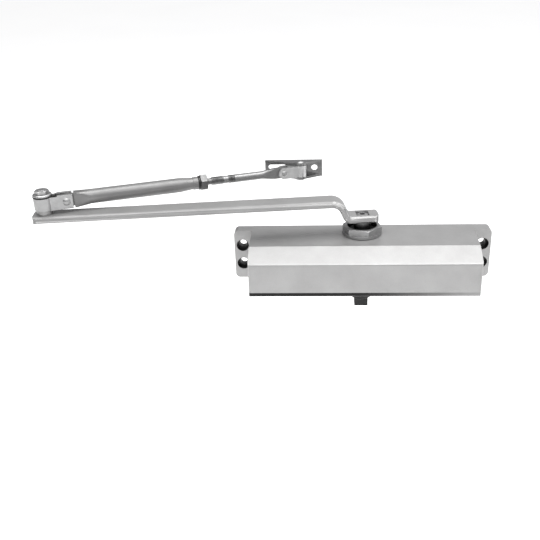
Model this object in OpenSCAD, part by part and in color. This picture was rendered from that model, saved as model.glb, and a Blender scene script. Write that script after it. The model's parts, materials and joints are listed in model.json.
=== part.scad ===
// Surface door closer: a rack-and-pinion hydraulic body with a two-piece jointed arm.
// X runs along the door, +Y points into the door, +Z is up.
// The origin is the centre of the four-hole pattern on the mounting face (y = 0).

/* [Body casting] */
// Distance between the two columns of mounting holes
hole_span_x = 230.2; // [229:0.1:231]
// Distance between the two rows of mounting holes
hole_span_z = 19.05; // [18:0.05:20]
// Diameter of a mounting hole
hole_d = 7; // [6:0.1:7.2]
// Diameter of the screw head counterbore
cbore_d = 12; // [10.6:0.1:12.2]
// Depth of the screw head counterbore
cbore_depth = 6; // [4:0.5:7]
// Overall length over the mounting lugs
lug_len = 246.4; // [245:0.1:250]
// Thickness of the mounting lugs
lug_t = 12.5; // [11:0.5:12.5]
// Corner radius of the mounting lugs
lug_r = 4.5; // [3:0.5:6]
// Height of the mounting lugs
lug_h = 49.6; // [48:0.1:50]
// Length of the cylinder casting between the lugs
body_len = 210.8; // [208:0.1:212]
// Height of the casting at the door, before its roof falls towards the room
body_h = 51.4; // [51:0.1:52]
// How far the roof falls from the door to the edge of the front slope
roof_fall = 1.5; // [1.2:0.1:1.6]
// Distance the casting stands off the door
body_depth = 70.5; // [69:0.5:73]
// Depth of the flat top before the front slope starts
top_depth = 49.5; // [49:0.5:51]
// Height that the upper front slope drops
slope_drop = 9.6; // [9:0.1:10]
// Height that the lower front slope rises
under_drop = 7; // [6.5:0.1:9]

/* [Cylinder and rack] */
// Distance from the door to the spindle axis
spindle_y = 20; // [20:0.1:20.4]
// Distance from the door to the cylinder axis
bore_y = 30.4; // [30.4:0.1:30.8]
// Cylinder bore diameter
bore_d = 32; // [31.6:0.1:32]
// Radial clearance of the piston in its bore
piston_gap = 0.04; // [0.02:0.01:0.08]
// Gear module of the rack and pinion
gear_m = 1.5; // [1.5:0.1:1.5]
// Number of pinion teeth
pinion_teeth = 11; // [11:1:11]
// Pressure angle of the teeth
pressure = 25; // [25:1:26]
// Angle the arm can turn away from rest
swing = 170; // [150:1:172]
// Wire diameter of the closing spring
spring_wire = 4.5; // [4:0.1:4.6]
// Number of coils in the closing spring
spring_turns = 5.5; // [4.5:0.5:5.5]

/* [Spindle] */
// Journal diameter of the spindle
journal_d = 16; // [15.5:0.1:16]
// Radial running clearance of a turning shaft
run_gap = 0.04; // [0.02:0.01:0.08]
// Size across the flats of the spindle squares
square_af = 10; // [9.5:0.1:10.4]
// Size across the flats of the hexagon bearing caps
cap_af = 32.5; // [31:0.5:33]
// Height of a bearing cap above the casting
cap_h = 8.4; // [8:0.1:9]

/* [Main arm] */
// Distance from the spindle axis to the elbow axis
arm_len = 292; // [285:1:300]
// Angle of the arm from the body axis at rest
arm_yaw = 7; // [5:0.1:8]
// Width of the arm bar
arm_w = 20; // [19:0.5:20]
// Thickness of the arm bar
arm_t = 6.6; // [6.4:0.1:6.8]
// Height of the underside of the arm's spindle pad
pad_z = 38.1; // [37.5:0.1:39]
// Height that the crank lifts the bar
crank_rise = 16.3; // [15:0.1:18]
// Slope of the crank
crank_angle = 66; // [60:1:68]
// Radius of the crank's lower bend, on the bar's centre line
crank_low_r = 6; // [5:0.5:7]
// Radius of the crank's upper bend, on the bar's centre line
crank_high_r = 11.5; // [9:0.5:12]

/* [Forearm] */
// Distance from the elbow axis to the bracket axis
fore_len = 245.7; // [240:0.1:250]
// Angle of the forearm from the body axis at rest
fore_yaw = 19.84; // [16:0.01:24]
// Height of the forearm's centre line
fore_z = 72.2; // [72:0.1:73]
// Outside diameter of the forearm tube
tube_d = 13.5; // [13:0.1:14]
// Thread diameter of the adjusting rod
thread_d = 8; // [8:0.1:8.1]
// Diameter of the plain part of the adjusting rod
rod_d = 7.6; // [7:0.1:7.8]
// Size across the flats of the lock nut
nut_af = 14; // [13:0.5:14]

/* [Frame bracket] */
// Length of the bracket plate
plate_len = 56.4; // [56:0.1:60]
// Thickness of the bracket steel
plate_t = 2.2; // [2:0.1:2.5]
// Diameter of the bracket hole
plate_hole_d = 6.2; // [5.5:0.1:6.5]
// Width of the bracket slot
slot_w = 5.2; // [5:0.1:5.6]

/* [Hidden] */
$fn = 48;

// Casting
top_z = body_h / 2;
body_edge_r = 1.8;
under_edge_r = 2.5;
end_edge_r = 2.6;
// A machined face carries each bearing cap
seat_z = top_z - 0.7;
seat_r = 19.3;
lug_overlap = 2;
plug_d = bore_d + 3;
plug_len = 14;
plug_x = body_len / 2 - plug_len;
cap_thread_d = 27;
cap_reach = 8.3;
valve_y = 57;
valve_z = 8.5;
valve_d = 8;
valve_depth = 22;
port_d = 3.5;

// Gear train: the rack's pitch line lies on the room side of the spindle
pitch_r = gear_m * pinion_teeth / 2;
base_r = pitch_r * cos(pressure);
tip_r = pitch_r + gear_m;
root_r = pitch_r - 1.25 * gear_m;
tooth_pitch = PI * gear_m;
backlash = 0.12;
rack_addendum = 0.9 * gear_m;
rack_root = 1.3 * gear_m;
gear_half = bore_d / 2 + 0.2;
travel = pitch_r * swing * PI / 180;

// Piston: window round the pinion, then a head at each end
window_end = tip_r + 1.25;
window_start = -travel - window_end;
head_left = 18;
head_right = 14;
piston_x0 = window_start - head_left;
piston_x1 = window_end + head_right;
spring_x0 = piston_x1;
spring_x1 = 84.2;
spring_r = 12.4;
seat_t = 4;
adjust_travel = 6;
ball_r = 3.2;
check_x = piston_x0 + 10.5;

// Spindle and caps
cap_collar_h = 2.6;
cap_recess_r = 14;
cap_recess = 5;
cap_turn = 46;
seal_r = 12.5;
bush_r = 11;
bush_z = seat_z - cap_reach;
bush_h = 5.7;
seal_z = bush_z + bush_h;
seal_h = seat_z + cap_h - cap_recess - seal_z;
lower_shoulder = 36.5;
lower_end = 46.3;
upper_end = pad_z + 3.8;

// Main arm, along its own +X from spindle to elbow
bar_chamfer = 1.5;
// Neighbouring lengths of bar run this far into each other, so that the arm is one solid
lap = 0.01;
pad_end = 14.6;
bar_z = pad_z + crank_rise;
crank_x0 = 10.7;
crank_bends = crank_low_r + crank_high_r;
crank_flat = (crank_rise - crank_bends * (1 - cos(crank_angle))) / sin(crank_angle);
crank_x1 = crank_x0 + crank_bends * sin(crank_angle) + crank_flat * cos(crank_angle);
arm_end = arm_len + 10.6;
screw_recess = 12.2;
screw_recess_z = pad_z + 4;
elbow = [-arm_len * cos(arm_yaw), -spindle_y - arm_len * sin(arm_yaw)];

// Elbow stack heights
elbow_d = 8;
spacer_z = bar_z + arm_t;
spacer_h = 4.7;
knuckle_z = spacer_z + spacer_h + 0.1;
knuckle_h = 11.4;
washer_z = knuckle_z + knuckle_h;
washer_h = 1.2;
washer_tab = 12.3;
washer_lip = 2.6;
tab_y = -4.6;
tab_w = 3.4;
collar_z = washer_z + washer_h + 0.1;
collar_h = 2;
collar_r = 8.6;
nut_z = collar_z + collar_h;
nut_rise = 3.2;

// Forearm, along its own +X from elbow to bracket
pin_d = 5;
fork_x = 20.4;
fork_end = 26;
fork_half = 6;
knuckle_mid = knuckle_z + knuckle_h / 2 - fore_z;
slot_half = 2.7;
tongue_half = 2.4;
tube_x0 = 27.4;
tube_x1 = 143;
swage_x0 = 125;
swage_x1 = 136;
tube_bore_d = 10.4;
neck_d = 11.2;
lock_gap = 2;
nut_h = 6.5;
rod_x0 = 100;
// The rod's bands: a relief, then two stretches of thread with a plain stretch between them
relief = [152.4, 155.7];
plain = [167.8, 172.2];
relief_d = 6;
plain_d = 7;
thread_end = 178.6;
rod_reach = 18;
rod_fork_x = fore_len - rod_reach;
rod_fork_half = 5;
rod_pin_d = 4;
rod_tongue_half = 2.1;
rod_tongue_h = 10;
rod_flare = [22, 9];
rod_slot_half = 2.35;
rod_fork_h = 10.8;
barrel_r = 8.5;
rod_barrel_r = 6;

// Bracket, with its own +X along the plate and the pivot at its origin
ear_gap = 12;
ear_r = 5.8;
bracket_pin_d = 5;
plate_y = 6.5;
plate_x0 = -35.1;
plate_h = ear_gap + 2 * plate_t;
slot_x0 = -32;
slot_len = 18;
slot_z = 1.5;
hole_x = 13.6;
hole_z = 0.5;

function arc(c, r, a0, a1, n) =
    [for (i = [0:n]) c + r * [cos(a0 + (a1 - a0) * i / n), sin(a0 + (a1 - a0) * i / n)]];

// Places

module at_spindle() {
    translate([0, -spindle_y, 0]) children();
}

// Turns a solid made along +Z so that it lies along +X on the cylinder axis
module on_bore(x) {
    translate([x, -bore_y, 0]) rotate([0, 90, 0]) children();
}

module on_valve(x, side) {
    translate([x, -valve_y, side * valve_z]) rotate([0, 90, 0]) children();
}

module along_arm() {
    at_spindle() rotate([0, 0, 180 + arm_yaw]) children();
}

module at_elbow(z) {
    translate([elbow[0], elbow[1], z]) children();
}

module along_forearm() {
    at_elbow(fore_z) rotate([0, 0, fore_yaw]) children();
}

module at_bracket() {
    along_forearm() translate([fore_len, 0, 0]) rotate([0, 0, -fore_yaw]) children();
}

// Shared shapes

module ring(outer_r, inner_r, h) {
    difference() {
        cylinder(h = h, r = outer_r);
        translate([0, 0, -1]) cylinder(h = h + 2, r = inner_r);
    }
}

module hexagon(af, h) {
    cylinder(h = h, r = af / sqrt(3), $fn = 6);
}

// Hexagon with its corners turned off at the top
module turned_hexagon(af, h, drop) {
    intersection() {
        hexagon(af, h);
        union() {
            cylinder(h = h - drop, r = af);
            translate([0, 0, h - drop]) cylinder(h = drop, r1 = af / sqrt(3), r2 = af / 2 - 0.1);
        }
    }
}

module oring(r, wire_r) {
    rotate_extrude() translate([r, 0]) circle(r = wire_r, $fn = 24);
}

module rounded_rect(size, r) {
    square([size[0] - 2 * r, size[1]], center = true);
    square([size[0], size[1] - 2 * r], center = true);
    for (sx = [-1, 1], sy = [-1, 1])
        translate([sx * (size[0] / 2 - r), sy * (size[1] / 2 - r)]) circle(r = r);
}

// Round-wire helical spring along +Z, closed to a flat ring at neither end
module coil(mean_r, wire_r, length, turns, sides, steps) {
    count = floor(turns * steps);
    rise = (length - 2 * wire_r) / count;
    ring_at = function (i, k) let (a = 360 * i / steps, b = 360 * k / sides)
        [(mean_r + wire_r * cos(b)) * cos(a), (mean_r + wire_r * cos(b)) * sin(a),
         wire_r + rise * i + wire_r * sin(b)];
    points = [for (i = [0:count], k = [0:sides - 1]) ring_at(i, k)];
    walls = [for (i = [0:count - 1], k = [0:sides - 1])
        let (a = i * sides + k, b = i * sides + (k + 1) % sides)
        [a, a + sides, b + sides, b]];
    ends = [[for (k = [0:sides - 1]) k],
            [for (k = [sides - 1:-1:0]) count * sides + k]];
    polyhedron(points = points, faces = concat(walls, ends), convexity = 8);
}

// Body casting

// Upper half of the casting seen from its end: roof, front slope and rounded front edge
function half_outline(drop, r) =
    let (
        edge_z = top_z - roof_fall,
        roof = atan(roof_fall / (top_depth - lug_overlap)),
        slope = atan(drop / (body_depth - top_depth)),
        inset = r * tan((90 - slope) / 2),
        shoulder = r * tan((slope - roof) / 2)
    )
    concat(
        [[-lug_overlap, top_z]],
        arc([-top_depth + shoulder, edge_z - r], r, 90 + roof, 90 + slope, 4),
        arc([-body_depth + r, edge_z - drop - inset], r, 90 + slope, 180, 6)
    );

module body_outline() {
    above = half_outline(slope_drop, body_edge_r);
    below = half_outline(under_drop, under_edge_r);
    polygon(concat(above, [for (i = [len(below) - 1:-1:0]) [below[i][0], -below[i][1]]]));
}

// The casting seen from above, with its front corners rounded
module body_plan() {
    r = end_edge_r;
    corner = arc([body_len / 2 - r, r - body_depth], r, 0, -90, 6);
    half = concat([[body_len / 2, -lug_overlap]], corner);
    polygon(concat(half, [for (i = [len(half) - 1:-1:0]) [-half[i][0], half[i][1]]]));
}

module body_shell() {
    intersection() {
        translate([-body_len / 2 - 1, 0, 0]) rotate([90, 0, 90])
            linear_extrude(body_len + 2) body_outline();
        translate([0, 0, -body_h]) linear_extrude(2 * body_h) body_plan();
    }
}

module mounting_lugs() {
    rotate([90, 0, 0]) linear_extrude(lug_t) rounded_rect([lug_len, lug_h], lug_r);
}

module mounting_holes() {
    for (sx = [-1, 1], sz = [-1, 1])
        translate([sx * hole_span_x / 2, 0, sz * hole_span_z / 2]) rotate([90, 0, 0]) {
            translate([0, 0, -1]) cylinder(h = lug_t + 2, d = hole_d);
            translate([0, 0, lug_t - cbore_depth]) cylinder(h = cbore_depth + 1, d = cbore_d);
        }
}

module oil_ways() {
    for (side = [-1, 1]) {
        on_valve(-body_len / 2 - 5, side) cylinder(h = valve_depth + 5, d = valve_d);
        on_valve(-body_len / 2, side) cylinder(h = side > 0 ? 160 : 60, d = port_d);
        for (x = side > 0 ? [-80, 50] : [-80, -49])
            translate([x, -bore_y - bore_d / 2 + 4, side * valve_z])
                rotate([90, 0, 0]) cylinder(h = valve_y - bore_y - bore_d / 2 + 4, d = port_d);
    }
}

module housing() {
    color("silver") difference() {
        union() {
            mounting_lugs();
            body_shell();
        }
        mounting_holes();
        on_bore(-body_len / 2 - 1) cylinder(h = body_len + 2, d = bore_d, $fn = 96);
        for (m = [0, 1]) mirror([m, 0, 0])
            on_bore(plug_x) cylinder(h = plug_len + 5, d = plug_d, $fn = 96);
        at_spindle() translate([0, 0, -top_z - 1]) cylinder(h = body_h + 2, d = cap_thread_d);
        for (m = [0, 1]) mirror([0, 0, m])
            at_spindle() translate([0, 0, seat_z]) cylinder(h = 5, r = seat_r);
        oil_ways();
    }
}

module bearing_cap() {
    difference() {
        union() {
            translate([0, 0, bush_z]) cylinder(h = cap_reach, d = cap_thread_d);
            translate([0, 0, seat_z]) cylinder(h = cap_collar_h, r = cap_af / sqrt(3) - 0.2);
            translate([0, 0, seat_z + cap_collar_h])
                rotate([0, 0, cap_turn]) turned_hexagon(cap_af, cap_h - cap_collar_h, 1.1);
        }
        translate([0, 0, bush_z - 1]) cylinder(h = cap_h + cap_reach + 2, r = bush_r);
        translate([0, 0, seal_z]) cylinder(h = cap_h + cap_reach, r = seal_r);
        translate([0, 0, seat_z + cap_h - cap_recess]) cylinder(h = cap_recess + 1, r = cap_recess_r);
    }
}

module bearing_cap_top() {
    color("gainsboro") at_spindle() bearing_cap();
}

module bearing_cap_bottom() {
    color("gainsboro") at_spindle() mirror([0, 0, 1]) bearing_cap();
}

module spindle_bushes() {
    color("goldenrod") at_spindle() for (m = [0, 1]) mirror([0, 0, m])
        translate([0, 0, bush_z]) ring(bush_r, journal_d / 2 + run_gap, bush_h);
}

module spindle_seals() {
    color("black") at_spindle() for (m = [0, 1]) mirror([0, 0, m])
        translate([0, 0, seal_z]) ring(seal_r, journal_d / 2 + run_gap, seal_h);
}

module plug_blank() {
    difference() {
        cylinder(h = plug_len, d = plug_d, $fn = 96);
        translate([0, 0, 3]) ring(plug_d / 2 + 1, plug_d / 2 - 1.9, 2.2);
        for (a = [0, 180])
            rotate([0, 0, a]) translate([12.5, 0, plug_len - 4]) cylinder(h = 5, d = 4.2);
    }
}

module end_plug_left() {
    color("gray") on_bore(-plug_x) mirror([0, 0, 1]) plug_blank();
}

module end_plug_right() {
    color("gray") on_bore(plug_x) difference() {
        plug_blank();
        translate([0, 0, -1]) cylinder(h = plug_len + 2, d = 10 + 2 * run_gap);
    }
}

module plug_orings() {
    color("black") for (m = [0, 1]) mirror([m, 0, 0])
        on_bore(plug_x + 4.1) oring(plug_d / 2 - 0.95, 0.9);
}

// Regulating valves, in the left end of the casting

module valve() {
    difference() {
        union() {
            translate([0, 0, 1]) cylinder(h = 13, r = valve_d / 2 - run_gap);
            translate([0, 0, 14]) cylinder(h = 4, r = 2.4);
            translate([0, 0, 18]) cylinder(h = 3.6, r1 = 2.4, r2 = 0.8);
        }
        translate([0, 0, 9]) ring(valve_d, 2.9, 1.9);
        translate([-5, -0.5, 0]) cube([10, 1, 2.2]);
    }
}

module sweep_valve() {
    color("silver") on_valve(-body_len / 2, 1) valve();
}

module latch_valve() {
    color("silver") on_valve(-body_len / 2, -1) valve();
}

module valve_orings() {
    color("black") for (side = [-1, 1])
        on_valve(-body_len / 2 + 9.95, side) oring(3.45, 0.5);
}

// Spring power adjuster, in the right end plug

module spring_adjuster() {
    color("dimgray") on_bore(0) difference() {
        union() {
            translate([0, 0, spring_x1 - adjust_travel - 5])
                cylinder(h = plug_x - spring_x1 + adjust_travel + 4, d = thread_d);
            translate([0, 0, plug_x - 3]) cylinder(h = 3, r = 7);
            translate([0, 0, plug_x]) cylinder(h = plug_len - 1, d = 10);
        }
        translate([0, 0, plug_x + plug_len - 6]) hexagon(5, 6);
        translate([0, 0, plug_x + 6]) ring(7, 4.1, 1.9);
    }
}

module adjuster_oring() {
    color("black") on_bore(plug_x + 6.95) oring(4.55, 0.42);
}

module spring_seat() {
    color("dimgray") on_bore(spring_x1) difference() {
        union() {
            cylinder(h = seat_t, r = bore_d / 2 - 0.3);
            translate([0, 0, -5]) cylinder(h = 6, r = 8.6);
        }
        translate([0, 0, -6]) cylinder(h = seat_t + 7, d = thread_d + 2 * run_gap);
    }
}

module closing_spring() {
    color("slategray") on_bore(spring_x0)
        coil(spring_r, spring_wire / 2, spring_x1 - spring_x0, spring_turns, 8, 20);
}

// Piston with a rack cut in its window

module rack_teeth() {
    first = ceil((window_start + 2) / tooth_pitch - 0.5);
    last = floor((window_end - 1.5) / tooth_pitch - 0.5);
    lean = tan(pressure);
    half = tooth_pitch / 4 - backlash / 2;
    tooth = [
        [-half - rack_root * lean, -rack_root - 1],
        [-half - rack_root * lean, -rack_root],
        [-half + rack_addendum * lean, rack_addendum],
        [half - rack_addendum * lean, rack_addendum],
        [half + rack_root * lean, -rack_root],
        [half + rack_root * lean, -rack_root - 1]
    ];
    for (i = [first:last])
        translate([(i + 0.5) * tooth_pitch, -spindle_y - pitch_r, 0]) polygon(tooth);
}

module rack_piston() {
    window_y0 = -spindle_y - pitch_r - rack_root;
    window_y1 = -bore_y + bore_d / 2 + 1;
    color("lightsteelblue") difference() {
        on_bore(piston_x0)
            cylinder(h = piston_x1 - piston_x0, r = bore_d / 2 - piston_gap, $fn = 96);
        translate([0, 0, -bore_d / 2]) linear_extrude(bore_d) difference() {
            translate([window_start, window_y0])
                square([window_end - window_start, window_y1 - window_y0]);
            rack_teeth();
        }
        on_bore(piston_x0 + 4) ring(bore_d / 2 + 1, bore_d / 2 - 2, 2.2);
        on_bore(piston_x0 - 1) cylinder(h = head_left + 2, d = 4);
        on_bore(piston_x0 - 1) cylinder(h = check_x + 1 - piston_x0, d = 7);
    }
}

module piston_ring() {
    color("saddlebrown") on_bore(piston_x0 + 4.1)
        ring(bore_d / 2 - 0.02, bore_d / 2 - 1.95, 2);
}

module check_ball() {
    color("silver") on_bore(check_x - sqrt(pow(ball_r, 2) - 4)) sphere(r = ball_r);
}

module check_retainer() {
    color("goldenrod") on_bore(piston_x0 + 0.5) ring(3.5, 1.5, 2);
}

module check_spring() {
    color("slategray") on_bore(piston_x0 + 2.5)
        coil(2.2, 0.25, check_x - sqrt(pow(ball_r, 2) - 4) - 2.55 - piston_x0 - 2.5, 4, 6, 12);
}

// Spindle

function involute_gap(r) = let (a = acos(min(1, base_r / r))) (tan(a) - a * PI / 180) * 180 / PI;

module pinion_outline() {
    mid = 90 / pinion_teeth - backlash / 2 / pitch_r * 180 / PI + involute_gap(pitch_r);
    flank = [for (i = [0:5]) base_r + (tip_r - base_r) * i / 5];
    side = [for (r = flank) [r, mid - involute_gap(r)]];
    points = concat([[root_r, mid]], side);
    tooth = concat(
        [for (p = points) p[0] * [cos(-p[1]), sin(-p[1])]],
        [for (i = [len(points) - 1:-1:0]) points[i][0] * [cos(points[i][1]), sin(points[i][1])]],
        [[0, 0]]
    );
    circle(r = root_r);
    for (i = [0:pinion_teeth - 1])
        rotate([0, 0, -90 + 360 * i / pinion_teeth]) polygon(tooth);
}

module square_end(z, h) {
    translate([-square_af / 2, -square_af / 2, z]) cube([square_af, square_af, h]);
}

module pinion_spindle() {
    color("darkgray") at_spindle() difference() {
        union() {
            translate([0, 0, -gear_half]) linear_extrude(2 * gear_half) pinion_outline();
            translate([0, 0, gear_half]) cylinder(h = pad_z - gear_half, d = journal_d);
            translate([0, 0, -lower_shoulder])
                cylinder(h = lower_shoulder - gear_half, d = journal_d);
            rotate([0, 0, arm_yaw]) square_end(pad_z - 1, upper_end - pad_z + 1);
            square_end(-lower_end, lower_end - lower_shoulder + 1);
        }
        translate([0, 0, upper_end - 14]) cylinder(h = 15, d = 6);
    }
}

module spindle_cap() {
    w = 13;
    flare_h = 3;
    flare_z = lower_end - 2.7;
    color("black") at_spindle() difference() {
        union() {
            translate([0, 0, flare_h - flare_z]) cylinder(h = flare_z - flare_h - 32, r = 10);
            translate([0, 0, -flare_z]) cylinder(h = flare_h, r1 = 6.9, r2 = 10);
            translate([-w / 2, -w / 2, -lower_end - 3.4]) cube([w, w, 12]);
        }
        translate([0, 0, -lower_shoulder - 0.1]) cylinder(h = 10, d = journal_d + 0.1);
        translate([-square_af / 2, -square_af / 2, -lower_end - 0.1])
            cube([square_af, square_af, 12]);
    }
}

// Main arm

module bar_section() {
    w = arm_w / 2;
    t = arm_t / 2;
    c = bar_chamfer;
    polygon([[-w + c, -t], [w - c, -t], [w, -t + c], [w, t - c],
             [w - c, t], [-w + c, t], [-w, t - c], [-w, -t + c]]);
}

// A length of bar along +X
module bar(length) {
    rotate([90, 0, 90]) linear_extrude(length) bar_section();
}

// A bend of the bar in the XZ plane, from the start angle round its centre
module bend(start, r) {
    rotate([90, 0, 0]) rotate([0, 0, start]) rotate_extrude(angle = crank_angle, $fn = 64)
        translate([r, 0]) rotate([0, 0, 90]) bar_section();
}

// One end of the arm's plan outline: a signed corner radius says which way it faces
module arm_corners(x, r) {
    for (s = [-1, 1])
        translate([x + r, s * (arm_w / 2 - abs(r))]) circle(r = abs(r));
    translate([min(x, x + 2 * r), -arm_w / 2 + abs(r)])
        square([2 * abs(r), arm_w - 2 * abs(r)]);
}

module arm_outline() {
    near_r = 5;
    far_r = 4;
    translate([near_r - pad_end, -arm_w / 2])
        square([arm_end - far_r + pad_end - near_r, arm_w]);
    arm_corners(-pad_end, near_r);
    arm_corners(arm_end, -far_r);
}

module main_arm() {
    mid = arm_t / 2;
    color("silver") along_arm() difference() {
        intersection() {
            union() {
                translate([-pad_end, 0, pad_z + mid]) bar(pad_end + crank_x0 + lap);
                translate([crank_x0, 0, pad_z + mid + crank_low_r]) bend(270, crank_low_r);
                translate([crank_x0 + crank_low_r * sin(crank_angle), 0,
                           pad_z + mid + crank_low_r * (1 - cos(crank_angle))])
                    rotate([0, -crank_angle, 0]) translate([-lap, 0, 0]) bar(crank_flat + 2 * lap);
                translate([crank_x1, 0, bar_z + mid - crank_high_r]) bend(90, crank_high_r);
                translate([crank_x1 - lap, 0, bar_z + mid]) bar(arm_end - crank_x1 + lap);
            }
            translate([0, 0, pad_z - 1]) linear_extrude(crank_rise + arm_t + 2) arm_outline();
        }
        translate([-square_af / 2, -square_af / 2, pad_z - 1]) cube([square_af, square_af, 9]);
        translate([-screw_recess / 2, -screw_recess / 2, screw_recess_z])
            cube([screw_recess, screw_recess, 5]);
        translate([arm_len, 0, bar_z - 1]) cylinder(h = arm_t + 2, d = elbow_d);
    }
}

module arm_screw() {
    head_r = 5.8;
    color("silver") at_spindle() difference() {
        union() {
            translate([0, 0, screw_recess_z]) cylinder(h = 1.2, r = head_r);
            translate([0, 0, screw_recess_z + 1.2]) cylinder(h = 0.9, r1 = head_r, r2 = head_r - 2.2);
            translate([0, 0, screw_recess_z - 12]) cylinder(h = 12, d = 6);
        }
        rotate([0, 0, 10]) translate([0, 0, screw_recess_z - 1.5]) hexagon(4.6, 4);
    }
}

// Elbow

module elbow_spacer() {
    rim_h = 1.2;
    rim_r = 7.6;
    color("silver") at_elbow(spacer_z) difference() {
        union() {
            cylinder(h = spacer_h - rim_h, r1 = 7, r2 = 7.4);
            translate([0, 0, spacer_h - rim_h]) cylinder(h = rim_h, r = rim_r);
        }
        translate([0, 0, -1]) cylinder(h = spacer_h + 2, d = elbow_d);
    }
}

module elbow_stud() {
    color("gray") at_elbow(bar_z) cylinder(h = nut_z - bar_z + nut_rise + 0.4, d = elbow_d);
}

// Friction washer with an arm, turned up at its end, that keeps it in step with the fork
module elbow_washer() {
    color("black") along_forearm() translate([0, 0, washer_z - fore_z]) difference() {
        union() {
            cylinder(h = washer_h, r = barrel_r + 0.3);
            translate([0, tab_y, 0]) cube([washer_tab, tab_w, washer_h]);
            translate([washer_tab - washer_h, tab_y, 0]) cube([washer_h, tab_w, washer_lip]);
        }
        translate([0, 0, -1]) cylinder(h = washer_h + 2, d = elbow_d + 2 * run_gap);
    }
}

module elbow_collar() {
    color("silver") at_elbow(collar_z) difference() {
        union() {
            cylinder(h = 1.2, r = collar_r);
            translate([0, 0, 1.2]) cylinder(h = collar_h - 1.2, r1 = collar_r, r2 = collar_r - 1);
        }
        translate([0, 0, -1]) cylinder(h = collar_h + 2, d = elbow_d);
    }
}

module elbow_nut() {
    color("silver") at_elbow(nut_z) rotate([0, 0, 20]) difference() {
        turned_hexagon(11.5, nut_rise, 0.8);
        translate([0, 0, -1]) cylinder(h = nut_rise + 2, d = elbow_d);
    }
}

// Upright barrel with a fork that reaches along +X, slotted for the tube's flat tongue
module elbow_knuckle() {
    height = 13.2;
    slot_start = 11.5;
    root = barrel_r * 0.55;
    above = washer_z - fore_z;
    below = knuckle_z - fore_z;
    color("silver") along_forearm() difference() {
        union() {
            translate([0, 0, below]) cylinder(h = knuckle_h, r = barrel_r);
            translate([root, -fork_half, knuckle_mid - height / 2])
                cube([fork_end - root, 2 * fork_half, height]);
        }
        translate([0, 0, below - 1]) cylinder(h = knuckle_h + 2, d = elbow_d + 2 * run_gap);
        translate([slot_start, -slot_half, knuckle_mid - height])
            cube([fork_end, 2 * slot_half, 2 * height]);
        translate([fork_x, fork_half + 1, knuckle_mid]) rotate([90, 0, 0])
            cylinder(h = 2 * fork_half + 2, d = pin_d);
        // Room for the washer and collar above, and for the spacer below
        translate([0, 0, above]) cylinder(h = 10, r = barrel_r + 0.5);
        translate([0, tab_y - 2, above]) cube([washer_tab + 0.2, 13.2, 10]);
        translate([0, 0, below - 10]) cylinder(h = 10, r = 7.9);
    }
}

// A rivet along Z with a domed head at each end of its grip
module rivet_along(grip, shank_d, head_r) {
    dome = head_r * 1.3;
    translate([0, 0, -grip / 2]) cylinder(h = grip, d = shank_d);
    for (m = [0, 1]) mirror([0, 0, m]) translate([0, 0, grip / 2]) rotate_extrude()
        intersection() {
            translate([0, head_r * 0.35 - dome]) circle(r = dome, $fn = 64);
            square([head_r, head_r]);
        }
}

// The same rivet across a fork, along Y
module rivet(half, shank_d, head_r) {
    rotate([90, 0, 0]) rivet_along(2 * half, shank_d, head_r);
}

module forearm_rivet() {
    color("lightgray") along_forearm()
        translate([fork_x, 0, knuckle_mid]) rivet(fork_half, pin_d, 3.9);
}

// Forearm tube: a flattened tongue, the round tube and a swaged threaded neck
module forearm_tube() {
    round_x = tube_x0 + 14;
    flat_w = 8.4;
    flat_h = 13.6;
    tongue_h = 11;
    color("silver") along_forearm() difference() {
        union() {
            translate([fork_x, tongue_half, knuckle_mid]) rotate([90, 0, 0])
                cylinder(h = 2 * tongue_half, d = tongue_h);
            translate([fork_x, -tongue_half, knuckle_mid - tongue_h / 2])
                cube([tube_x0 - fork_x + 1, 2 * tongue_half, tongue_h]);
            hull() {
                translate([tube_x0, -flat_w / 2, knuckle_mid - flat_h / 2])
                    cube([2, flat_w, flat_h]);
                translate([round_x, 0, 0]) rotate([0, 90, 0]) cylinder(h = 1, d = tube_d - 0.1);
            }
            translate([round_x, 0, 0]) rotate([0, 90, 0])
                cylinder(h = swage_x0 - round_x, d = tube_d);
            translate([swage_x0, 0, 0]) rotate([0, 90, 0])
                cylinder(h = swage_x1 - swage_x0, d1 = tube_d, d2 = neck_d);
            translate([swage_x1, 0, 0]) rotate([0, 90, 0])
                cylinder(h = tube_x1 - swage_x1, d = neck_d);
            translate([swage_x1 + 2, 0, 0]) rotate([0, 90, 0])
                cylinder(h = tube_x1 - swage_x1 - 2.6, d = neck_d + 0.8);
        }
        translate([fork_x, 10, knuckle_mid]) rotate([90, 0, 0])
            cylinder(h = 20, d = pin_d + 2 * run_gap);
        translate([round_x + 3, 0, 0]) rotate([0, 90, 0])
            cylinder(h = swage_x0 - round_x - 4, d = tube_bore_d);
        translate([rod_x0 - 10, 0, 0]) rotate([0, 90, 0])
            cylinder(h = tube_x1, d = thread_d + 2 * run_gap);
    }
}

module lock_washer() {
    color("dimgray") along_forearm() translate([tube_x1 + 0.1, 0, 0]) rotate([0, 90, 0])
        ring(6.6, thread_d / 2 + run_gap, lock_gap - 0.2);
}

module lock_nut() {
    color("silver") along_forearm() translate([tube_x1 + lock_gap, 0, 0]) rotate([0, 90, 0])
        rotate([0, 0, 8]) difference() {
            intersection() {
                turned_hexagon(nut_af, nut_h, 0.7);
                translate([0, 0, nut_h]) mirror([0, 0, 1]) turned_hexagon(nut_af, nut_h, 0.7);
            }
            translate([0, 0, -1]) cylinder(h = nut_h + 2, d = thread_d + 2 * run_gap);
        }
}

module rod_band(band, d) {
    translate([band[0], 0, 0]) rotate([0, 90, 0]) cylinder(h = band[1] - band[0], d = d);
}

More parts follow.
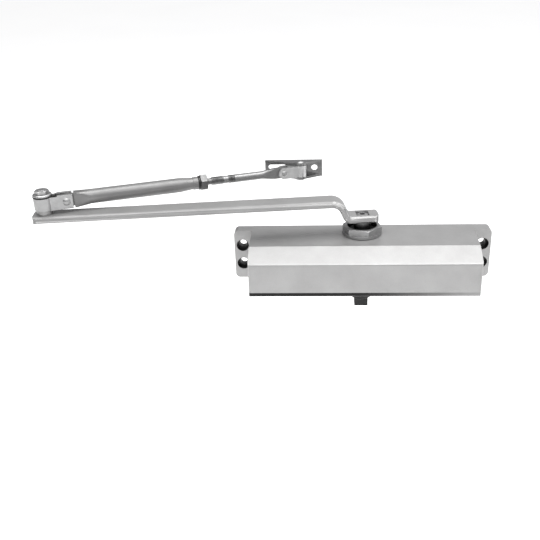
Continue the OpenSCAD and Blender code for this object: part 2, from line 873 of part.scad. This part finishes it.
module adjusting_rod() {
    flare_x = rod_fork_x - rod_flare[0];
    color("silver") along_forearm() difference() {
        union() {
            rod_band([rod_x0, relief[0]], thread_d);
            rod_band(relief, relief_d);
            rod_band([relief[1], plain[0]], thread_d);
            rod_band(plain, plain_d);
            rod_band([plain[1], thread_end], thread_d);
            rod_band([thread_end, flare_x], rod_d);
            hull() {
                rod_band([flare_x, flare_x + 1], rod_d - 0.1);
                translate([rod_fork_x - rod_flare[1], -rod_tongue_half, -rod_tongue_h / 2])
                    cube([2, 2 * rod_tongue_half, rod_tongue_h]);
            }
            translate([rod_fork_x - rod_flare[1], -rod_tongue_half, -rod_tongue_h / 2])
                cube([rod_flare[1], 2 * rod_tongue_half, rod_tongue_h]);
            translate([rod_fork_x, rod_tongue_half, 0]) rotate([90, 0, 0])
                cylinder(h = 2 * rod_tongue_half, r = 4.2);
        }
        translate([rod_fork_x, 10, 0]) rotate([90, 0, 0])
            cylinder(h = 20, d = rod_pin_d + 2 * run_gap);
    }
}

// The block at the frame end: a round-ended eye for the bracket's rivet and a fork for the rod
module rod_knuckle() {
    h = ear_gap - 0.7;
    color("silver") along_forearm() translate([fore_len, 0, 0]) mirror([1, 0, 0]) difference() {
        union() {
            translate([0, 0, -h / 2]) cylinder(h = h, r = rod_barrel_r);
            translate([0, -rod_fork_half, -rod_fork_h / 2])
                cube([rod_reach, 2 * rod_fork_half, rod_fork_h]);
            translate([rod_reach, rod_fork_half, 0]) rotate([90, 0, 0])
                cylinder(h = 2 * rod_fork_half, r = rod_fork_h / 2);
        }
        translate([0, 0, -ear_gap]) cylinder(h = 2 * ear_gap, d = bracket_pin_d + 2 * run_gap);
        translate([rod_reach - 4.7, -rod_slot_half, -ear_gap])
            cube([20, 2 * rod_slot_half, 2 * ear_gap]);
        translate([rod_reach, 10, 0]) rotate([90, 0, 0]) cylinder(h = 20, d = rod_pin_d);
    }
}

module rod_rivet() {
    color("lightgray") along_forearm() translate([rod_fork_x, 0, 0])
        rivet(rod_fork_half, rod_pin_d, 3);
}

// Frame bracket: a plate with an ear folded forward above and below the barrel

module ear_outline() {
    polygon(concat(
        [[plate_x0 + 1, plate_y + 0.5]],
        arc([0, 0], ear_r, 198, 342, 14),
        [[plate_x0 + plate_len - 1, plate_y + 0.5]]
    ));
}

module frame_bracket() {
    color("silver") at_bracket() difference() {
        union() {
            translate([plate_x0, plate_y, -plate_h / 2]) cube([plate_len, plate_t, plate_h]);
            for (m = [0, 1]) mirror([0, 0, m])
                translate([0, 0, ear_gap / 2]) linear_extrude(plate_t) ear_outline();
        }
        translate([0, 0, -plate_h]) cylinder(h = 2 * plate_h, d = bracket_pin_d);
        translate([hole_x, plate_y + plate_t + 1, hole_z]) rotate([90, 0, 0])
            cylinder(h = plate_t + 2, d = plate_hole_d);
        for (x = [slot_w / 2, slot_len - slot_w / 2])
            translate([slot_x0 + x, plate_y + plate_t + 1, slot_z]) rotate([90, 0, 0])
                cylinder(h = plate_t + 2, d = slot_w);
        translate([slot_x0 + slot_w / 2, plate_y - 1, slot_z - slot_w / 2])
            cube([slot_len - slot_w, plate_t + 2, slot_w]);
    }
}

module bracket_rivet() {
    color("lightgray") at_bracket() rivet_along(plate_h, bracket_pin_d, 4);
}

housing();
bearing_cap_top();
bearing_cap_bottom();
spindle_bushes();
spindle_seals();
end_plug_left();
end_plug_right();
plug_orings();
sweep_valve();
latch_valve();
valve_orings();
spring_adjuster();
adjuster_oring();
spring_seat();
closing_spring();
rack_piston();
piston_ring();
check_ball();
check_spring();
check_retainer();
pinion_spindle();
spindle_cap();
main_arm();
arm_screw();
elbow_spacer();
elbow_stud();
elbow_washer();
elbow_collar();
elbow_nut();
elbow_knuckle();
forearm_rivet();
forearm_tube();
lock_washer();
lock_nut();
adjusting_rod();
rod_rivet();
rod_knuckle();
bracket_rivet();
frame_bracket();
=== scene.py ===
"""Door closer: the looks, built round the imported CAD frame. Metres, in the CAD frame."""
import json
import math

import bmesh
import bpy
from mathutils import Matrix, Vector

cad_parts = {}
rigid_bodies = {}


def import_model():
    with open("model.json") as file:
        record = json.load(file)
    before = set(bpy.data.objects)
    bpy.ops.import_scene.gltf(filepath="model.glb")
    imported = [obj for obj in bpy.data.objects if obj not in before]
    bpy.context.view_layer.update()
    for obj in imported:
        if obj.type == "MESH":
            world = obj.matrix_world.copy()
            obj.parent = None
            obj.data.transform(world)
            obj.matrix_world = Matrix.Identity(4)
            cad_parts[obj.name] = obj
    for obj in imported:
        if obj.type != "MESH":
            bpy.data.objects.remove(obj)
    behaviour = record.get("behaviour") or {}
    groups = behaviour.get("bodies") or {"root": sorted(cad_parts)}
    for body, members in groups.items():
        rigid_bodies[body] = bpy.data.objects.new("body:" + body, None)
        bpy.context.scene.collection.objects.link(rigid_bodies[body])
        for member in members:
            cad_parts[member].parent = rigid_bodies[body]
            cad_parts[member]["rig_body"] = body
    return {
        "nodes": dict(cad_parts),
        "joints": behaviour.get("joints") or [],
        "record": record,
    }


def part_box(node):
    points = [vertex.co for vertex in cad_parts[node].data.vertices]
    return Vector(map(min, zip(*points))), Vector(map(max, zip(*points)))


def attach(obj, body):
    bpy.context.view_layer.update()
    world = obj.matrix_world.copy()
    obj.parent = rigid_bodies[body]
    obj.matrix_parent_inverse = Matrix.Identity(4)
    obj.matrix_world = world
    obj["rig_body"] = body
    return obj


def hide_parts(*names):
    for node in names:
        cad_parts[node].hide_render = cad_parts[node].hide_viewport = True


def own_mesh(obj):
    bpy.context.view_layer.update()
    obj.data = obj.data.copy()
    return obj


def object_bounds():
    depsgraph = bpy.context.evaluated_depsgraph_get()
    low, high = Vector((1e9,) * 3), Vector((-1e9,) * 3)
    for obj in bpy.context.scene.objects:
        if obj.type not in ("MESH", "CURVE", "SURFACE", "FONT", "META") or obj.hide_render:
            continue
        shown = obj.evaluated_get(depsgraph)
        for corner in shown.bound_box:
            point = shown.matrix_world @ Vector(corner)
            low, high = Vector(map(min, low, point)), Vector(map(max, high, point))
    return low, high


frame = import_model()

cad_bounds = [list(corner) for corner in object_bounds()]
MM = 0.001
scene = bpy.context.scene

# ---------------------------------------------------------------- places taken from the frame

joint_of = {joint["name"]: joint for joint in frame["joints"]}
slot_of = {part["node"]: part["material_slot"] for part in frame["record"]["subparts"]}
spindle = Vector(joint_of["arm_swing"]["pos_m"])
elbow = Vector(joint_of["elbow_swing"]["pos_m"])
forearm_z = joint_of["bracket_pivot"]["pos_m"][2]
forearm_dir = Vector(joint_of["rod_slide"]["axis"]).normalized()
forearm_side = Vector((-forearm_dir.y, forearm_dir.x, 0))
screw_pattern = frame["record"]["mounts"][0]["dims"]
front_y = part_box("housing")[0][1]


def forearm_point(along, side=0.0, up=0.0):
    """A point given in mm along the forearm from the elbow, to its left and above its centre line."""
    base = Vector((elbow.x, elbow.y, forearm_z))
    return base + MM * (along * forearm_dir + side * forearm_side + up * Vector((0, 0, 1)))


# ---------------------------------------------------------------- materials


class Finish:
    """A Principled material with helpers for noise-driven colour, roughness and bump."""

    def __init__(self, name, metallic, specular=0.5):
        self.material = bpy.data.materials.new(name)
        self.material.use_nodes = True
        self.tree = self.material.node_tree
        self.shader = self.tree.nodes["Principled BSDF"]
        self.shader.inputs["Metallic"].default_value = metallic
        self.shader.inputs["Specular IOR Level"].default_value = specular
        self.place = self.tree.nodes.new("ShaderNodeTexCoord").outputs["Object"]
        self.normal = None

    def node(self, kind, **settings):
        made = self.tree.nodes.new(kind)
        for key, value in settings.items():
            setattr(made, key, value)
        return made

    def link(self, out, into):
        self.tree.links.new(out, into)

    def stretched(self, scale, turn=0.0):
        """Object coordinates scaled differently along each axis, for drawn or brushed metal."""
        mapping = self.node("ShaderNodeMapping")
        mapping.inputs["Scale"].default_value = scale
        mapping.inputs["Rotation"].default_value = (0, 0, turn)
        self.link(self.place, mapping.inputs["Vector"])
        return mapping.outputs["Vector"]

    def noise(self, scale, detail=3.0, rough=0.55, place=None):
        made = self.node("ShaderNodeTexNoise")
        made.inputs["Scale"].default_value = scale
        made.inputs["Detail"].default_value = detail
        made.inputs["Roughness"].default_value = rough
        self.link(place or self.place, made.inputs["Vector"])
        return made.outputs["Fac"]

    def cells(self, scale):
        made = self.node("ShaderNodeTexVoronoi")
        made.inputs["Scale"].default_value = scale
        self.link(self.place, made.inputs["Vector"])
        return made.outputs["Color"]

    def ramp(self, value, dark, light, low=0.3, high=0.7):
        made = self.node("ShaderNodeValToRGB")
        made.color_ramp.elements[0].position = low
        made.color_ramp.elements[1].position = high
        made.color_ramp.elements[0].color = (*dark, 1)
        made.color_ramp.elements[1].color = (*light, 1)
        self.link(value, made.inputs["Fac"])
        return made.outputs["Color"]

    def blended(self, first, second, mode, amount):
        """Two colours mixed by a number or by a mask."""
        made = self.node("ShaderNodeMix", data_type="RGBA", blend_type=mode)
        if isinstance(amount, float):
            made.inputs[0].default_value = amount
        else:
            self.link(amount, made.inputs[0])
        self.link(first, made.inputs[6])
        self.link(second, made.inputs[7])
        return made.outputs[2]

    def fade(self, axis, start, end):
        """A mask that goes from 0 to 1 between two places along X, Y or Z, in metres."""
        parts = self.node("ShaderNodeSeparateXYZ")
        self.link(self.place, parts.inputs[0])
        made = self.node("ShaderNodeMapRange", interpolation_type="SMOOTHSTEP")
        made.inputs["From Min"].default_value = start
        made.inputs["From Max"].default_value = end
        self.link(parts.outputs[axis], made.inputs["Value"])
        return made.outputs["Result"]

    def product(self, *masks):
        result = masks[0]
        for mask in masks[1:]:
            made = self.node("ShaderNodeMath", operation="MULTIPLY")
            self.link(result, made.inputs[0])
            self.link(mask, made.inputs[1])
            result = made.outputs[0]
        return result

    def spread(self, value, low, high):
        made = self.node("ShaderNodeMapRange")
        made.inputs["From Min"].default_value = 0.3
        made.inputs["From Max"].default_value = 0.7
        made.inputs["To Min"].default_value = low
        made.inputs["To Max"].default_value = high
        self.link(value, made.inputs["Value"])
        return made.outputs["Result"]

    def colour(self, socket):
        self.link(socket, self.shader.inputs["Base Color"])

    def roughness(self, value, low, high):
        self.link(self.spread(value, low, high), self.shader.inputs["Roughness"])

    def bump(self, value, depth_mm, strength=1.0):
        made = self.node("ShaderNodeBump")
        made.inputs["Strength"].default_value = strength
        made.inputs["Distance"].default_value = depth_mm * MM
        self.link(value, made.inputs["Height"])
        if self.normal is not None:
            self.link(self.normal, made.inputs["Normal"])
        self.normal = made.outputs["Normal"]
        self.link(self.normal, self.shader.inputs["Normal"])


def grey(value, warmth=0.0):
    return (value * (1 + warmth), value, value * (1 - warmth))


def painted(name, dark, light, metallic, low, high):
    """Silver paint: a soft mottle, fine bright flakes, orange peel and a faint unevenness."""
    made = Finish(name, metallic)
    mottle = made.ramp(made.noise(38, 4), grey(dark, 0.006), grey(light, 0.004))
    flakes = made.ramp(made.cells(3600), grey(0.80), grey(1.0), 0.1, 0.9)
    made.colour(made.blended(mottle, flakes, "MULTIPLY", 0.35))
    made.roughness(made.noise(120, 3), low, high)
    made.bump(made.noise(2600, 2), 0.05, 0.35)
    made.bump(made.noise(520, 3), 0.10, 0.22)
    return made


def casting_finish():
    """The casting's paint, with painted shade along the lower front edge that thins out to the right.
    """
    shade_starts_z, shade_full_z = -13.0 * MM, -13.8 * MM
    shade_gone_x, shade_full_x = 150 * MM, -10 * MM
    made = painted("casting_paint", 0.30, 0.34, 0.62, 0.34, 0.44)
    paint = made.shader.inputs["Base Color"].links[0].from_socket
    # painted shade: near-black colour under the lower front edge, thinning out to the right
    painted_shade = made.ramp(made.noise(260, 4), grey(0.003), grey(0.009))
    under = made.fade("Z", shade_starts_z, shade_full_z)
    front = made.fade("Y", front_y + 6 * MM, front_y + 3 * MM)
    left = made.fade("X", shade_gone_x, shade_full_x)
    made.colour(made.blended(paint, painted_shade, "MIX", made.product(under, front, left)))
    return made.material


def metal(name, dark, light, low, high, grain_scale=900, warmth=0.0, pits_mm=0.03):
    """Plated or ground metal: small stains, and fine grain in its colour, roughness and surface."""
    made = Finish(name, 1.0)
    made.colour(made.ramp(made.noise(160, 5, 0.6), grey(dark, warmth), grey(light, warmth)))
    made.roughness(made.noise(700, 4), low, high)
    made.bump(made.noise(grain_scale, 3), pits_mm, 0.4)
    return made.material


def drawn_metal(name, dark, light, low, high):
    """Metal drawn or brushed along the forearm, with long fine scratches."""
    made = Finish(name, 1.0)
    turn = -math.atan2(forearm_dir.y, forearm_dir.x)
    lines = made.noise(1.0, 4, 0.6, made.stretched((60, 2600, 2600), turn))
    made.colour(made.ramp(lines, grey(dark), grey(light)))
    made.roughness(lines, low, high)
    made.bump(lines, 0.02, 0.35)
    return made.material


def moulded(name, dark, light, low, high, pebble):
    """Moulded plastic or rubber with a fine pebbled skin."""
    made = Finish(name, 0.0, 0.4)
    made.colour(made.ramp(made.noise(90, 4), dark, light))
    made.roughness(made.noise(300, 3), low, high)
    made.bump(made.noise(pebble, 2), 0.06, 0.5)
    return made.material


finish = {
    "casting_paint": casting_finish(),
    "arm_paint": painted("arm_paint", 0.28, 0.32, 0.55, 0.38, 0.48).material,
    "tube_paint": painted("tube_paint", 0.16, 0.20, 0.55, 0.38, 0.48).material,
    "plated_steel": metal("plated_steel", 0.31, 0.40, 0.36, 0.48),
    "cast_steel": metal("cast_steel", 0.31, 0.40, 0.38, 0.50, 620, 0.0, 0.10),
    "fork_steel": metal("fork_steel", 0.50, 0.60, 0.34, 0.46, 620, 0.0, 0.06),
    "nut_steel": metal("nut_steel", 0.12, 0.17, 0.34, 0.46),
    "bracket_steel": metal("bracket_steel", 0.17, 0.28, 0.30, 0.44, 480, 0.0, 0.10),
    "ground_steel": metal("ground_steel", 0.30, 0.40, 0.22, 0.34, 1400),
    # painted shade: the spindle's ground steel, darkened for the cap recess it shows in
    "recess_shade_hub_steel": metal("recess_shade_hub_steel", 0.10, 0.18, 0.30, 0.42, 1400),
    "thread_steel": metal("thread_steel", 0.10, 0.20, 0.30, 0.42, 1200),
    # painted shade: near-black steel for the hollows of the bearing caps
    "dark_steel": metal("dark_steel", 0.035, 0.06, 0.34, 0.48),
    "bore_shade": metal("bore_shade", 0.05, 0.10, 0.40, 0.55, 500),
    "spring_steel": metal("spring_steel", 0.20, 0.30, 0.30, 0.42),
    "rod_steel": drawn_metal("rod_steel", 0.20, 0.27, 0.36, 0.48),
    "bronze": metal("bronze", 0.45, 0.60, 0.28, 0.40, 1100, 0.28),
    "rubber": moulded("rubber", (0.012, 0.012, 0.012), (0.022, 0.022, 0.023), 0.55, 0.70, 1800),
    "ring_plastic": moulded("ring_plastic", (0.16, 0.09, 0.045), (0.24, 0.15, 0.08), 0.45, 0.6, 1500),
    "black_plastic": moulded("black_plastic", grey(0.003), grey(0.007), 0.50, 0.62, 1400),
}

# ---------------------------------------------------------------- building pieces


def settle(piece):
    """Applies the piece's modifiers, so that what shows is a plain mesh."""
    bpy.context.view_layer.update()
    shown = piece.evaluated_get(bpy.context.evaluated_depsgraph_get())
    final = bpy.data.meshes.new_from_object(shown)
    piece.modifiers.clear()
    piece.data = final


def new_piece(name, mesh):
    piece = bpy.data.objects.new(name, mesh)
    scene.collection.objects.link(piece)
    return piece


def dress(piece, name):
    piece.data.materials.clear()
    piece.data.materials.append(finish[name])


def stand_in(piece, node, look=None):
    """Gives a piece the node's body and finish, and hides the node."""
    dress(piece, look or LOOKS.get(node, slot_of[node]))
    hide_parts(node)
    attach(piece, frame["nodes"][node]["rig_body"])


def round_edges(piece, width_mm, segments=2, angle=24.0):
    rounding = piece.modifiers.new("rounding", "BEVEL")
    rounding.width = width_mm * MM
    rounding.segments = segments
    rounding.limit_method = "ANGLE"
    rounding.angle_limit = math.radians(angle)
    rounding.use_clamp_overlap = True
    rounding.miter_outer = "MITER_ARC"
    weighting = piece.modifiers.new("weighting", "WEIGHTED_NORMAL")
    weighting.keep_sharp = True
    settle(piece)


def clean_copy(node, cut=None):
    """A copy of a CAD node's mesh with coplanar facets joined, kept on one side of a cut."""
    mesh = frame["nodes"][node].data.copy()
    shape = bmesh.new()
    shape.from_mesh(mesh)
    bmesh.ops.remove_doubles(shape, verts=shape.verts, dist=0.002 * MM)
    if cut:
        place, normal = cut
        geometry = list(shape.verts) + list(shape.edges) + list(shape.faces)
        bmesh.ops.bisect_plane(shape, geom=geometry, plane_co=place, plane_no=normal, clear_inner=True)
        rim = [edge for edge in shape.edges if edge.is_boundary]
        bmesh.ops.holes_fill(shape, edges=rim)
    bmesh.ops.dissolve_limit(shape, angle_limit=math.radians(0.6), verts=shape.verts, edges=shape.edges)
    shape.to_mesh(mesh)
    shape.free()
    mesh.shade_smooth()
    return mesh


def softened(node, width_mm):
    """A copy of a CAD node with its edges rounded, which stands for that node."""
    piece = new_piece(node + "_shape", clean_copy(node))
    round_edges(piece, width_mm)
    stand_in(piece, node)
    return piece


def repaint(piece, look, inside):
    """Gives the faces whose centres pass a test a second material."""
    piece.data.materials.append(finish[look])
    second = len(piece.data.materials) - 1
    for face in piece.data.polygons:
        if inside(face.center):
            face.material_index = second


def loft(name, rings):
    """A closed skin through rings of points, with a flat cap at each end."""
    count = len(rings[0])
    points = [point for ring in rings for point in ring]
    faces = []
    for i in range(len(rings) - 1):
        for k in range(count):
            a, b = i * count + k, i * count + (k + 1) % count
            faces.append((a, b, b + count, a + count))
    last = (len(rings) - 1) * count
    faces.append(tuple(range(count - 1, -1, -1)))
    faces.append(tuple(range(last, last + count)))
    mesh = bpy.data.meshes.new(name)
    mesh.from_pydata(points, [], faces)
    shape = bmesh.new()
    shape.from_mesh(mesh)
    bmesh.ops.recalc_face_normals(shape, faces=shape.faces)
    for face in shape.faces:
        face.smooth = len(face.verts) == 4
    shape.to_mesh(mesh)
    shape.free()
    return new_piece(name, mesh)


# ---------------------------------------------------------------- CAD nodes with rounded edges

LOOKS = {
    # painted shade: the spindle is darkened for the recess it shows in
    "pinion_spindle": "recess_shade_hub_steel",
    "forearm_tube": "tube_paint",
    "elbow_knuckle": "cast_steel",
    "rod_knuckle": "fork_steel",
    "frame_bracket": "bracket_steel",
    "adjusting_rod": "rod_steel",
    "lock_nut": "nut_steel",
}
EDGE_MM = {
    "housing": 0.9,
    "bearing_cap_top": 0.5,
    "bearing_cap_bottom": 0.5,
    "end_plug_left": 0.4,
    "end_plug_right": 0.4,
    "spindle_cap": 0.5,
    "main_arm": 0.35,
    "arm_screw": 0.35,
    "elbow_spacer": 0.35,
    "elbow_stud": 0.6,
    "elbow_washer": 0.25,
    "elbow_collar": 0.3,
    "elbow_nut": 0.3,
    "elbow_knuckle": 0.5,
    "forearm_tube": 0.4,
    "lock_washer": 0.3,
    "lock_nut": 0.3,
    "rod_knuckle": 0.5,
    "frame_bracket": 0.35,
}


def in_a_screw_hole(point):
    """Whether a point lies on the wall or floor of one of the counterbored screw holes."""
    reach = 6.1 * MM
    deepest_y = -12.3 * MM
    dx = abs(point.x) - screw_pattern["spacing_x_mm"] * MM / 2
    dz = abs(point.z) - screw_pattern["spacing_y_mm"] * MM / 2
    return math.hypot(dx, dz) < reach and point.y > deepest_y


def in_cap_recess(point):
    """Whether a point lies inside the recess of a bearing cap, or on its bore."""
    recess_r, recess_end = 14.3 * MM, 33 * MM
    away = math.hypot(point.x - spindle.x, point.y - spindle.y)
    return away < recess_r and abs(point.z) < recess_end


shaped = {node: softened(node, width) for node, width in EDGE_MM.items()}
repaint(shaped["housing"], "bore_shade", in_a_screw_hole)
# painted shade: the recesses and bores of the bearing caps get near-black steel
repaint(shaped["bearing_cap_top"], "dark_steel", in_cap_recess)
repaint(shaped["bearing_cap_bottom"], "dark_steel", in_cap_recess)

# ---------------------------------------------------------------- threaded rod

THREADS = ((100.0, 152.4), (155.7, 167.8), (172.2, 178.6))
ROD_START, ROD_END = THREADS[0][0], THREADS[-1][1]
THREAD_R, ROOT_R, RELIEF_R, PLAIN_R = 3.98, 3.45, 3.0, 3.5
PITCH = 1.25


def thread_radius(along, turn):
    """Radius of the rod at a place along it and an angle round it, in mm and radians."""
    for start, end in THREADS:
        if start <= along <= end:
            height = abs(2 * ((along / PITCH - turn / (2 * math.pi)) % 1) - 1)
            run_in = min(1, (along - start) / PITCH, (end - along) / PITCH)
            return ROOT_R + (THREAD_R - ROOT_R) * min(1, 1.25 * height) * max(0.2, run_in)
    return RELIEF_R if along < THREADS[1][0] else PLAIN_R


def threaded_rod():
    """The rod's threads as one turning ridge, and the plain rod and its flattened end as in the CAD."""
    sides = 40
    rings_a_turn = 8
    steps = round((ROD_END - ROD_START) / PITCH * rings_a_turn)
    rings = []
    for i in range(steps + 1):
        along = ROD_START + (ROD_END - ROD_START) * i / steps
        ring = []
        for k in range(sides):
            turn = 2 * math.pi * k / sides
            radius = thread_radius(along, turn)
            ring.append(forearm_point(along, radius * math.cos(turn), radius * math.sin(turn)))
        rings.append(ring)
    thread = loft("adjusting_rod_thread", rings)
    stand_in(thread, "adjusting_rod", "thread_steel")
    bright = THREADS[1][1], THREADS[2][0]
    elbow_end = forearm_point(0)

    def between_threads(point):
        return bright[0] < (point - elbow_end).dot(forearm_dir) / MM < bright[1]

    repaint(thread, "rod_steel", between_threads)
    cut = forearm_point(ROD_END), forearm_dir
    plain = new_piece("adjusting_rod_plain", clean_copy("adjusting_rod", cut))
    round_edges(plain, 0.35)
    stand_in(plain, "adjusting_rod")


threaded_rod()

# ---------------------------------------------------------------- closing spring


def closing_spring():
    """Round wire wound on the cylinder's axis, at one fixed length, though the real spring shortens as
    the piston comes towards its seat.
    """
    low, high = (Vector(corner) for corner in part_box("closing_spring"))
    wire_r = 2.25 * MM
    coil_r = (high.z - low.z) / 2 - wire_r
    middle_y = (low.y + high.y) / 2
    turns, steps, sides = 5.5, 36, 16
    count = round(turns * steps)
    length = high.x - low.x - 2 * wire_r
    rings = []
    for i in range(count + 1):
        angle = 2 * math.pi * i / steps
        out = Vector((0, math.cos(angle), math.sin(angle)))
        centre = Vector((low.x + wire_r + length * i / count, middle_y, 0)) + coil_r * out
        rings.append([centre + wire_r * (math.cos(t) * out + math.sin(t) * Vector((1, 0, 0)))
                      for t in (2 * math.pi * k / sides for k in range(sides))])
    spring = loft("closing_spring_wire", rings)
    stand_in(spring, "closing_spring")
    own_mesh(spring)


closing_spring()

for node, shown in frame["nodes"].items():
    if not shown.hide_render:
        dress(shown, LOOKS.get(node, slot_of[node]))

# ---------------------------------------------------------------- floor, light and camera


def pale_floor():
    floor_drop = 0.16
    half = 9.0
    low = cad_bounds[0][2] - floor_drop
    mesh = bpy.data.meshes.new("floor")
    corners = [(-half, -half, low), (half, -half, low), (half, half, low), (-half, half, low)]
    mesh.from_pydata(corners, [], [(0, 1, 2, 3)])
    floor = new_piece("floor", mesh)
    made = Finish("floor_paper", 0.0, 0.1)
    made.colour(made.ramp(made.noise(3, 2), grey(0.90), grey(0.92)))
    made.roughness(made.noise(40, 2), 0.85, 0.95)
    made.shader.inputs["Emission Color"].default_value = (1, 1, 1, 1)
    made.shader.inputs["Emission Strength"].default_value = 0.30
    mesh.materials.append(made.material)


def area_light(name, place, target, size, power):
    lamp = bpy.data.lights.new(name, "AREA")
    lamp.shape = "RECTANGLE"
    lamp.size, lamp.size_y = size
    lamp.energy = power
    holder = bpy.data.objects.new(name, lamp)
    scene.collection.objects.link(holder)
    holder.location = place
    holder.rotation_euler = (Vector(target) - Vector(place)).to_track_quat("-Z", "Y").to_euler()


def studio():
    """A grey room that is brighter overhead, and darker behind to the left."""
    world = bpy.data.worlds.new("studio")
    world.use_nodes = True
    tree = world.node_tree
    sky = tree.nodes["Background"]
    direction = tree.nodes.new("ShaderNodeTexCoord").outputs["Generated"]
    parts = tree.nodes.new("ShaderNodeSeparateXYZ")
    tree.links.new(direction, parts.inputs[0])
    height = tree.nodes.new("ShaderNodeValToRGB")
    height.color_ramp.elements[0].position = 0.45
    height.color_ramp.elements[0].color = (0.50, 0.50, 0.51, 1)
    height.color_ramp.elements[1].position = 0.90
    height.color_ramp.elements[1].color = (0.90, 0.90, 0.90, 1)
    tree.links.new(parts.outputs["Z"], height.inputs["Fac"])
    side = tree.nodes.new("ShaderNodeMapRange")
    side.inputs["From Min"].default_value = -0.30
    side.inputs["From Max"].default_value = 0.15
    side.inputs["To Min"].default_value = 0.58
    side.inputs["To Max"].default_value = 1.35
    tree.links.new(parts.outputs["X"], side.inputs["Value"])
    tree.links.new(height.outputs["Color"], sky.inputs["Color"])
    tree.links.new(side.outputs["Result"], sky.inputs["Strength"])
    scene.world = world
    middle = (0, 0, 0)
    area_light("overhead", (0.0, -0.10, 1.25), middle, (2.2, 0.7), 26)
    area_light("front_high", (-0.2, -1.1, 1.3), middle, (1.6, 0.5), 10)


def camera():
    """Level with the reference view: 25 degrees down, a little from the left, with a slight roll."""
    pitch, yaw, roll = 0.439, -0.076, 0.037
    place = Vector((-0.0376, -0.69185, 0.30263))
    ahead = Vector((math.sin(yaw) * math.cos(pitch), math.cos(yaw) * math.cos(pitch), -math.sin(pitch)))
    right = Vector((math.cos(yaw), -math.sin(yaw), 0))
    down = ahead.cross(right)
    rolled_right = math.cos(roll) * right + math.sin(roll) * down
    rolled_down = -math.sin(roll) * right + math.cos(roll) * down
    lens = bpy.data.cameras.new("camera")
    lens.sensor_width = 36
    lens.lens = 50.7
    view = bpy.data.objects.new("camera", lens)
    scene.collection.objects.link(view)
    turn = Matrix((rolled_right, -rolled_down, -ahead)).transposed().to_4x4()
    view.matrix_world = Matrix.Translation(place) @ turn
    scene.camera = view


pale_floor()
studio()
camera()
scene.view_settings.view_transform = "Standard"
